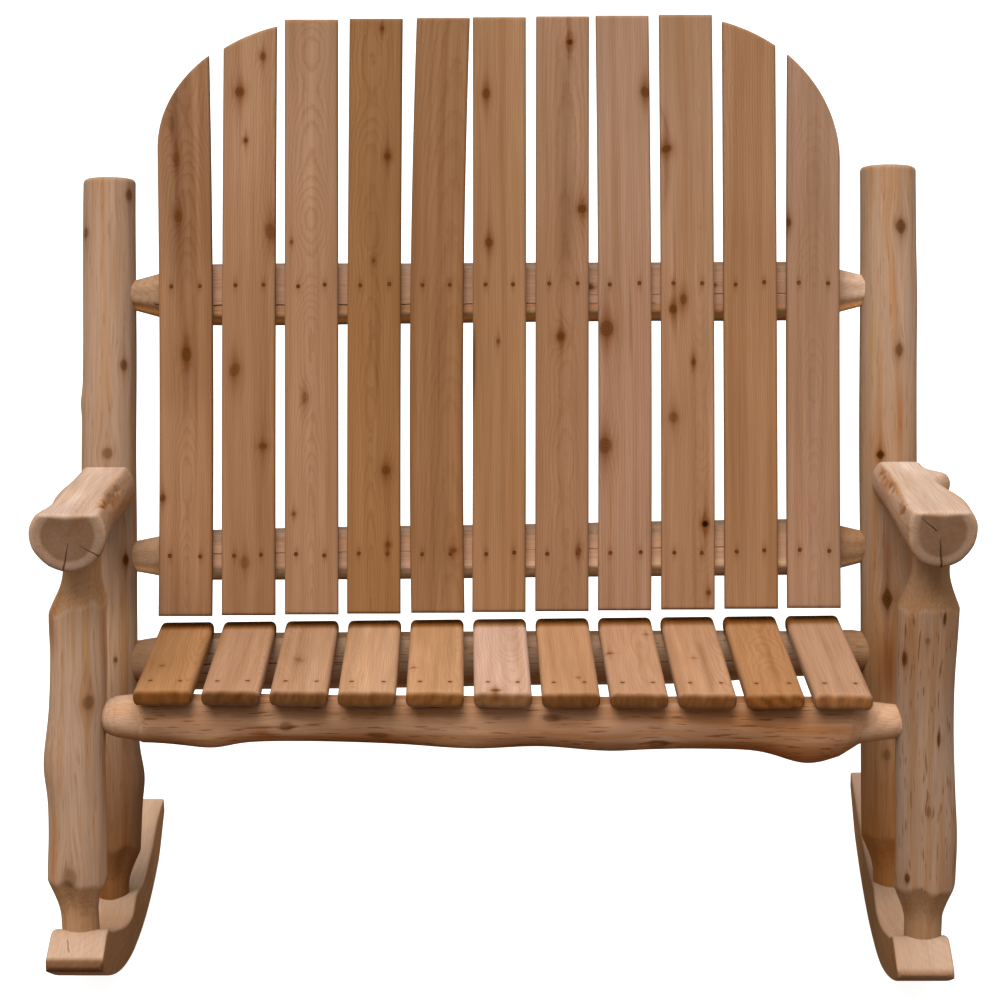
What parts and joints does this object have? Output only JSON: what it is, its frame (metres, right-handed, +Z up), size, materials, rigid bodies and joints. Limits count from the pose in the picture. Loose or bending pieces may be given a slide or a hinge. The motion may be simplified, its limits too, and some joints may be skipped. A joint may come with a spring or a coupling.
{
  "type": "double adirondack rocking chair",
  "caption": "Double adirondack rocking chair of peeled logs with a slatted seat, a leaning slatted back with rounded top corners, flat-topped log arms and curved sawn rockers.",
  "frame": {"origin": "middle of the chair's outline on the floor", "axes": "+Z up, +X to the right seen from in front, -Y the way a sitter faces"},
  "size_m": [1.2234, 0.8262, 1.2979],
  "materials": {
    "peeled_log": "peeled softwood log, hand-drawn surface, clear satin finish",
    "sawn_rocker": "sawn and sanded softwood, clear satin finish",
    "seat_slat": "planed softwood board with rounded edges, clear satin finish",
    "back_slat": "planed softwood board with rounded edges, clear satin finish",
    "screw": "plain steel screw, slightly dulled"
  },
  "bodies": {
    "root": {"back_slat_01": "back_slat", "back_slat_02": "back_slat", "back_slat_03": "back_slat", "back_slat_04": "back_slat", "back_slat_05": "back_slat", "back_slat_06": "back_slat", "back_slat_07": "back_slat", "back_slat_08": "back_slat", "back_slat_09": "back_slat", "back_slat_10": "back_slat", "back_slat_11": "back_slat", "front_seat_rail": "peeled_log", "front_seat_rail_left_screw": "screw", "front_seat_rail_right_screw": "screw", "left_arm": "peeled_log", "left_arm_lag_screw": "screw", "left_arm_screw": "screw", "left_back_foot_screw": "screw", "left_back_post": "peeled_log", "left_front_foot_screw": "screw", "left_front_post": "peeled_log", "left_rocker": "sawn_rocker", "lower_back_rail": "peeled_log", "lower_back_rail_left_screw": "screw", "lower_back_rail_right_screw": "screw", "rear_seat_rail": "peeled_log", "rear_seat_rail_left_screw": "screw", "rear_seat_rail_right_screw": "screw", "right_arm": "peeled_log", "right_arm_lag_screw": "screw", "right_arm_screw": "screw", "right_back_foot_screw": "screw", "right_back_post": "peeled_log", "right_front_foot_screw": "screw", "right_front_post": "peeled_log", "right_rocker": "sawn_rocker", "seat_slat_01": "seat_slat", "seat_slat_02": "seat_slat", "seat_slat_03": "seat_slat", "seat_slat_04": "seat_slat", "seat_slat_05": "seat_slat", "seat_slat_06": "seat_slat", "seat_slat_07": "seat_slat", "seat_slat_08": "seat_slat", "seat_slat_09": "seat_slat", "seat_slat_10": "seat_slat", "seat_slat_11": "seat_slat", "upper_back_rail": "peeled_log", "upper_back_rail_left_screw": "screw", "upper_back_rail_right_screw": "screw"}
  },
  "joints": []
}
